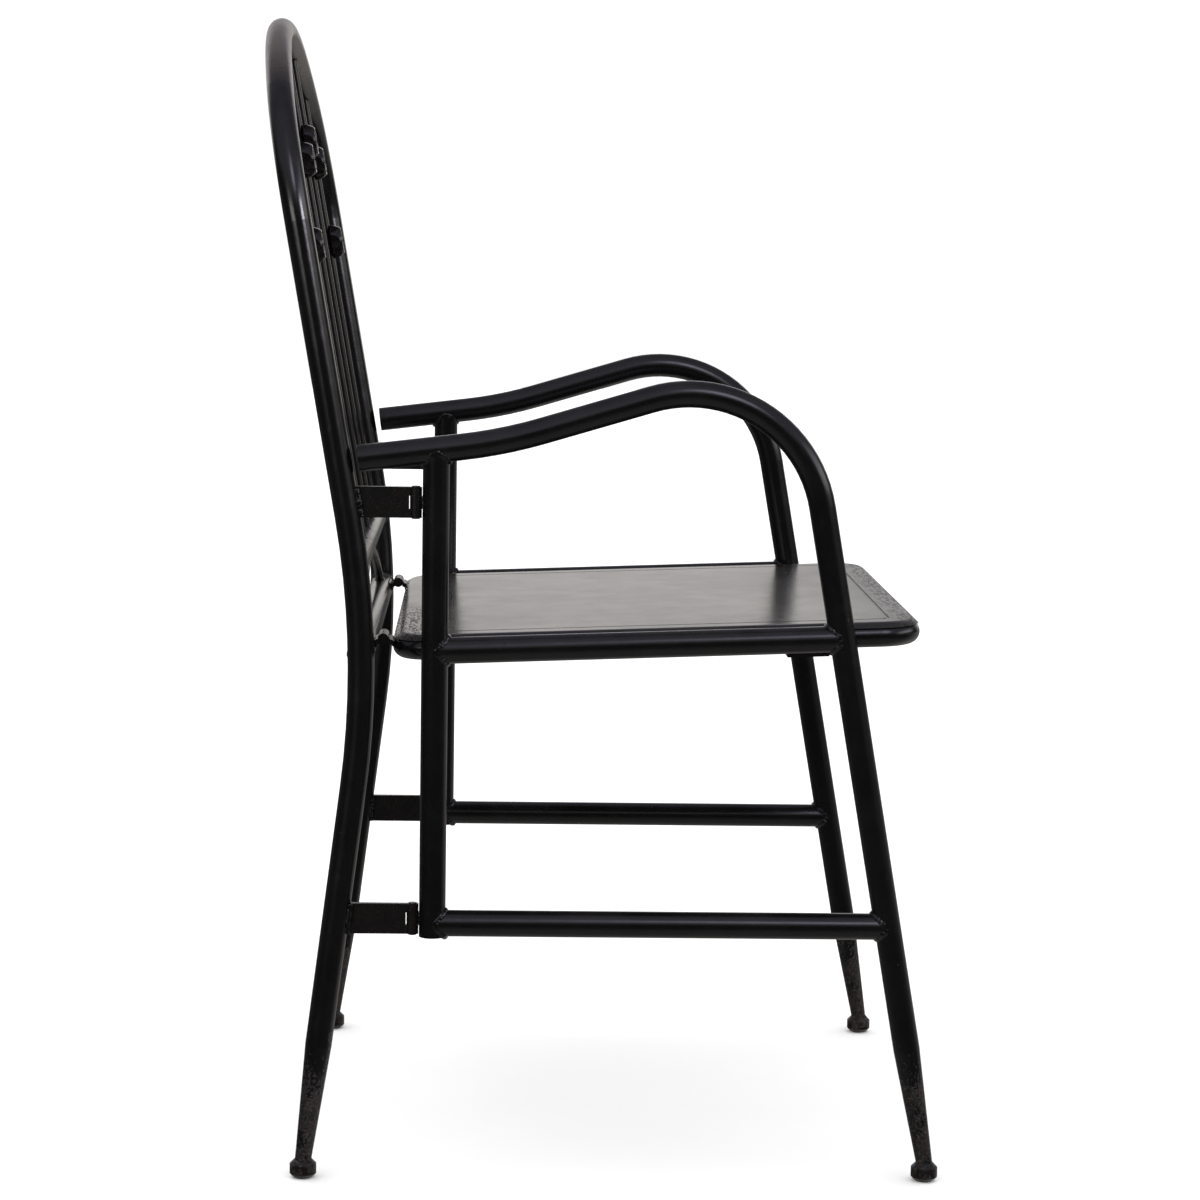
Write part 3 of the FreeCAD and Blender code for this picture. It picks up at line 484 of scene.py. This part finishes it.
def bead_tree():
    tree = bpy.data.node_groups.new("weld_bead", "GeometryNodeTree")
    tree.is_modifier = True
    sockets = tree.interface
    sockets.new_socket("Seams", in_out="INPUT", socket_type="NodeSocketGeometry")
    for name, value in (("Ripple pitch", 0.0024), ("Ripple depth", 0.035),
                        ("Unevenness", 0.20), ("Wander", 0.0016)):
        size = sockets.new_socket(name, in_out="INPUT", socket_type="NodeSocketFloat")
        size.default_value = value
    sockets.new_socket("Paint", in_out="INPUT", socket_type="NodeSocketMaterial")
    sockets.new_socket("Beads", in_out="OUTPUT", socket_type="NodeSocketGeometry")
    start = Wire(tree)
    inputs = tree.nodes.new("NodeGroupInput")
    given = {socket.name: Wire(tree, socket) for socket in inputs.outputs if socket.name}
    line = start.add("GeometryNodeMeshToCurve", {}, {"Mesh": given["Seams"]})
    line = start.add("GeometryNodeResampleCurve", {"mode": "LENGTH"},
                     {"Curve": line, "Length": 0.0006})
    place = start.add("GeometryNodeInputPosition", {}, {})
    drift = start.add("ShaderNodeTexNoise", {}, {"Vector": place, "Scale": 150.0, "Detail": 2.0},
                      out="Color")
    drift = start.add("ShaderNodeVectorMath", {"operation": "SUBTRACT"},
                      {0: drift, 1: (0.5, 0.5, 0.5)})
    drift = start.add("ShaderNodeVectorMath", {"operation": "SCALE"},
                      {0: drift, "Scale": given["Wander"]})
    line = start.add("GeometryNodeSetPosition", {}, {"Geometry": line, "Offset": drift})
    along = start.add("GeometryNodeSplineParameter", {}, {}, out="Length")
    ripple = start.maths("DIVIDE", along, given["Ripple pitch"])
    wave = start.add("ShaderNodeMath", {"operation": "SINE"}, {0: ripple * (2 * math.pi)})
    lump = start.add("ShaderNodeTexNoise", {}, {"Vector": place, "Scale": 260.0, "Detail": 1.0})
    bead = start.add("GeometryNodeInputNamedAttribute", {"data_type": "FLOAT"}, {"Name": "bead"})
    swell = 1.0 + wave * given["Ripple depth"] + (lump - 0.5) * given["Unevenness"] * 2.0
    section = start.add("GeometryNodeCurvePrimitiveCircle", {"mode": "RADIUS"},
                        {"Resolution": 16, "Radius": 1.0})
    body = start.add("GeometryNodeCurveToMesh", {},
                     {"Curve": line, "Profile Curve": section, "Scale": bead * swell,
                      "Fill Caps": True})
    body = start.add("GeometryNodeRealizeInstances", {}, {"Geometry": body})
    body = start.add("GeometryNodeSetMaterial", {}, {"Geometry": body, "Material": given["Paint"]})
    end = tree.nodes.new("NodeGroupOutput")
    tree.links.new(body.socket, end.inputs[0])
    return tree


def grown(name, base, tree, given, body):
    # Runs a tree on a base mesh and keeps the result as a plain piece that rides on a body.
    piece = bpy.data.objects.new(name, base)
    bpy.context.scene.collection.objects.link(piece)
    modifier = piece.modifiers.new("grow", "NODES")
    modifier.node_group = tree
    for socket in tree.interface.items_tree:
        if socket.in_out == "INPUT" and socket.name in given:
            modifier[socket.identifier] = given[socket.name]
    seen = piece.evaluated_get(bpy.context.evaluated_depsgraph_get())
    solid = bpy.data.meshes.new_from_object(seen)
    piece.modifiers.remove(modifier)
    piece.data = solid
    for polygon in solid.polygons:
        polygon.use_smooth = True
    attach(piece, body)
    return piece


def bead_piece(name, seams, tree, paint, body):
    points, edges, girth = [], [], []
    for path, closed, radii in seams:
        first = len(points)
        points += path
        girth += radii
        edges += [(first + n, first + n + 1) for n in range(len(path) - 1)]
        if closed:
            edges.append((first + len(path) - 1, first))
    lines = bpy.data.meshes.new(name + "_lines")
    lines.from_pydata(points, edges, [])
    lines.attributes.new("bead", "FLOAT", "POINT").data.foreach_set("value", girth)
    piece = grown(name, lines, tree, {"Paint": paint}, body)
    # filed back to the outer faces of the tubes
    for vertex in piece.data.vertices:
        proud = abs(vertex.co.x) - OUTER_FACE
        if proud > 0:
            left_over = FILED_TO * math.tanh(proud / FILED_TO)
            vertex.co.x = math.copysign(OUTER_FACE + left_over, vertex.co.x)
    return piece


weld_paint = black_paint("weld_paint", FRAME_BLACK, gloss=0.10, rust_top=LEG_RUST_TOP,
                         dust_share=0.04, peel=0.0, wave=0.10)
beads = bead_tree()
seat_seams = [seam for x in (-SEAT_HINGE_X, SEAT_HINGE_X)
              for seam in leaf_seams("seat_rim_tube", x, SEAT_RIM)]
for name, seams, paint, body, slot in (
        ("back_weld_beads", back_seams(), weld_paint, "back_frame", "frame_paint"),
        ("right_weld_beads", side_seams(-SIDE_X), weld_paint, "side_frame_right", "frame_paint"),
        ("left_weld_beads", side_seams(SIDE_X), weld_paint, "side_frame_left", "frame_paint"),
        ("seat_weld_beads", seat_seams, weld_paint, "seat", "seat_paint"),
        ("seat_rear_tacks", tack_seams(), hinge_iron, "seat", "seat_paint")):
    bead_piece(name, seams, beads, paint, body)


# Floor: a plain pale disc, and a white room. The picture's reflections come from a bright
# yard beyond the chair, a dark house behind the viewer and open sky above it.
bpy.context.scene.view_settings.view_transform = "Standard"
bpy.ops.mesh.primitive_circle_add(vertices=128, radius=12, fill_type="NGON",
                                  location=(0, 0, -0.0005))
floor = bpy.context.object
floor.name = "pale_floor"
floor_finish, start, here = new_finish("pale_floor")
floor_tone = blend(noise(start, here, 6.0), (0.90, 0.90, 0.90, 1), (0.93, 0.93, 0.93, 1))
floor_coat = start.add("ShaderNodeBsdfPrincipled", {},
                       {"Base Color": floor_tone, "Roughness": 0.9, "Specular IOR Level": 0.0})
start.add("ShaderNodeOutputMaterial", {}, {"Surface": floor_coat})
floor.data.materials.append(floor_finish)
floor.visible_glossy = False

room = bpy.data.worlds.new("white_room")
room.use_nodes = True
room.node_tree.nodes.clear()
bpy.context.scene.world = room
start = Wire(room.node_tree)
look = start.add("ShaderNodeTexCoord", {}, {}, out="Generated")
beyond = look.add("ShaderNodeSeparateXYZ", {}, {"Vector": look}, out="X")
to_back = look.add("ShaderNodeSeparateXYZ", {}, {"Vector": look}, out="Y")
above = look.add("ShaderNodeSeparateXYZ", {}, {"Vector": look}, out="Z")
to_front = 0.0 - to_back
house_side = 1.0 - rise(beyond, -0.35, 0.25)


def glow(direction, outer, inner):
    # 1 where a reflection looks straight along a direction, and 0 well off it.
    middle = Vector(direction).normalized()
    return rise(beyond * middle.x + to_back * middle.y + above * middle.z, outer, inner)


sky = rise(above, 0.12, 0.42) * (0.20 + house_side * 0.22)
sky = sky + glow((-0.76, -0.04, 0.64), 0.86, 0.995) * 0.18
sky = sky + glow((-0.79, -0.23, 0.57), 0.972, 0.995) * 3.6
left_light = house_side * rise(to_back, 0.22, 0.42) * (1.0 - rise(to_back, 0.62, 0.85))
left_light = left_light * rise(above, -0.02, 0.08) * (1.0 - rise(above, 0.1, 0.35)) * 1.6
low_part = rise(above, -0.16, 0.0) * 0.10
high_part = rise(above, 0.13, 0.22) * (1.0 - rise(above, 0.3, 0.55)) * 2.4
right_light = rise(to_front, 0.66, 0.86) * (1.0 - rise(beyond, 0.0, 0.4)) * (low_part + high_part)
yard = rise(beyond, 0.55, 0.85) * (1.0 - rise(above, 0.32, 0.5)) * rise(above, -0.02, 0.03) * 0.92
lit_ground = rise(beyond, -0.3, 0.6) * (0.06 + rise(to_front, -0.1, 0.5) * 0.30)
ground = (1.0 - rise(above, -0.06, 0.0)) * lit_ground + rise(0.0 - above, 0.22, 0.78) * 0.23
mirrored = sky + left_light + right_light + yard + ground + 0.02
glossy = start.add("ShaderNodeLightPath", {}, {}, out="Is Glossy Ray")
seen = start.add("ShaderNodeLightPath", {}, {}, out="Is Camera Ray")
strength = glossy * mirrored + (1.0 - glossy) * (1.5 - seen * 0.45)
warm, cool, white = (1, 0.965, 0.925, 1), (0.84, 0.81, 1.0, 1), (1, 1, 1, 1)
mirrored_tint = blend(glossy * rise(above, 0.15, 0.5), warm, cool)
tint = blend(glossy, white, mirrored_tint)
back = start.add("ShaderNodeBackground", {}, {"Color": tint, "Strength": strength})
start.add("ShaderNodeOutputWorld", {}, {"Surface": back})

# Two windows of the house, which draw the pair of bright lines down the back hoop. In
# the photograph no other tube shows them, so they shine on the hoop alone.
hoop_alone = bpy.data.collections.new("hoop_alone")
hoop_alone.objects.link(nodes["back_hoop_tube"])
SHOULDER = Vector((-0.26, 0.24, 0.80))
WINDOW_AWAY = 3.0
for name, direction, middle_height, wide, high, radiance, colour in (
        ("left_window", Vector((-0.85, 0.53, 0)), 0.82, 1.5, 0.48, 4.0, (1.0, 0.97, 0.98)),
        ("right_window", Vector((-0.62, -0.78, 0)), 1.56, 1.0, 0.50, 20.0, (0.90, 0.88, 1.0))):
    pane = bpy.data.lights.new(name, "AREA")
    pane.shape = "RECTANGLE"
    pane.size, pane.size_y = wide, high
    pane.energy = radiance * math.pi * wide * high
    pane.color = colour
    window = bpy.data.objects.new(name, pane)
    window.location = SHOULDER + direction.normalized() * WINDOW_AWAY
    window.location.z = middle_height
    window.rotation_euler = (SHOULDER - window.location).to_track_quat("-Z", "Y").to_euler()
    window.visible_diffuse = False
    window.visible_camera = False
    window.light_linking.receiver_collection = hoop_alone
    bpy.context.scene.collection.objects.link(window)
